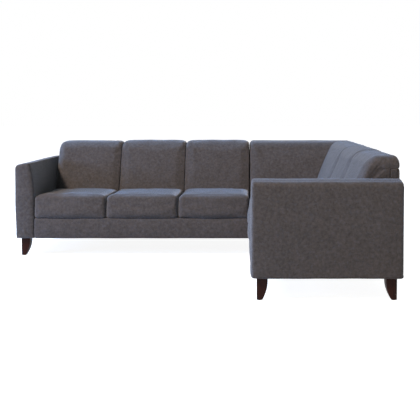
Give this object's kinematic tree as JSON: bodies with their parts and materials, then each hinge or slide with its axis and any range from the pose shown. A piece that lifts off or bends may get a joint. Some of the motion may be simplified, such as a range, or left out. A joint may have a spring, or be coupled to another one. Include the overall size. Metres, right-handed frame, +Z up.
{
  "type": "corner sofa",
  "caption": "Fabric corner sofa with raked tight backs, loose boxed seat cushions that lift off, padded slab arms and curved tapered wooden legs.",
  "frame": {"origin": "on the floor under the middle of the bounding box", "axes": "+Z up; +X along the long side, whose seats face -Y; the short side runs towards -Y on the +X side"},
  "size_m": [2.759, 2.194, 0.874],
  "materials": {
    "upholstery": "matte",
    "deck_felt": "matte",
    "dust_cloth": "matte",
    "webbing": "matte",
    "timber": "matte",
    "stained_wood": "satin",
    "support_plastic": "matte",
    "glide_plastic": "matte",
    "zinc_steel": "satin"
  },
  "bodies": {
    "sofa": {"corner_back_cushion_1": "upholstery", "corner_back_cushion_2": "upholstery", "corner_back_frame": "timber", "corner_block": "timber", "corner_dust_cover": "dust_cloth", "corner_left_rail": "timber", "corner_leg": "stained_wood", "corner_near_rail": "timber", "corner_outside_back": "upholstery", "corner_rear_rail": "timber", "corner_right_rail": "timber", "corner_seat_deck": "deck_felt", "corner_webbing": "webbing", "joining_plates": "zinc_steel", "left_arm_cover": "upholstery", "left_arm_frame": "timber", "left_front_leg": "stained_wood", "left_rear_leg": "stained_wood", "leg_bolts": "zinc_steel", "leg_glides": "glide_plastic", "long_back_cushion_1": "upholstery", "long_back_cushion_2": "upholstery", "long_back_cushion_3": "upholstery", "long_back_frame": "timber", "long_cross_rail_1": "timber", "long_cross_rail_2": "timber", "long_dust_cover": "dust_cloth", "long_front_band": "upholstery", "long_front_rail": "timber", "long_left_rail": "timber", "long_outside_back": "upholstery", "long_rear_rail": "timber", "long_right_rail": "timber", "long_seat_deck": "deck_felt", "long_webbing": "webbing", "near_arm_cover": "upholstery", "near_arm_frame": "timber", "near_front_leg": "stained_wood", "near_rear_leg": "stained_wood", "return_back_cushion_1": "upholstery", "return_back_cushion_2": "upholstery", "return_back_frame": "timber", "return_cross_rail_1": "timber", "return_dust_cover": "dust_cloth", "return_far_rail": "timber", "return_front_band": "upholstery", "return_front_rail": "timber", "return_near_rail": "timber", "return_outside_back": "upholstery", "return_rear_rail": "timber", "return_seat_deck": "deck_felt", "return_webbing": "webbing", "support_legs": "support_plastic"},
    "corner_seat_cushion_body": {"corner_seat_cushion": "upholstery"},
    "long_seat_cushion_1_body": {"long_seat_cushion_1": "upholstery"},
    "long_seat_cushion_2_body": {"long_seat_cushion_2": "upholstery"},
    "long_seat_cushion_3_body": {"long_seat_cushion_3": "upholstery"},
    "return_seat_cushion_1_body": {"return_seat_cushion_1": "upholstery"},
    "return_seat_cushion_2_body": {"return_seat_cushion_2": "upholstery"}
  },
  "joints": [
    {"name": "corner_cushion_lift", "type": "slide", "parent": "sofa", "child": "corner_seat_cushion_body", "axis": [0, 0, 1], "range_m": [0, 0.6]},
    {"name": "long_cushion_1_lift", "type": "slide", "parent": "sofa", "child": "long_seat_cushion_1_body", "axis": [0, 0, 1], "range_m": [0, 0.6]},
    {"name": "long_cushion_2_lift", "type": "slide", "parent": "sofa", "child": "long_seat_cushion_2_body", "axis": [0, 0, 1], "range_m": [0, 0.6]},
    {"name": "long_cushion_3_lift", "type": "slide", "parent": "sofa", "child": "long_seat_cushion_3_body", "axis": [0, 0, 1], "range_m": [0, 0.6]},
    {"name": "return_cushion_1_lift", "type": "slide", "parent": "sofa", "child": "return_seat_cushion_1_body", "axis": [0, 0, 1], "range_m": [0, 0.6]},
    {"name": "return_cushion_2_lift", "type": "slide", "parent": "sofa", "child": "return_seat_cushion_2_body", "axis": [0, 0, 1], "range_m": [0, 0.6]}
  ]
}
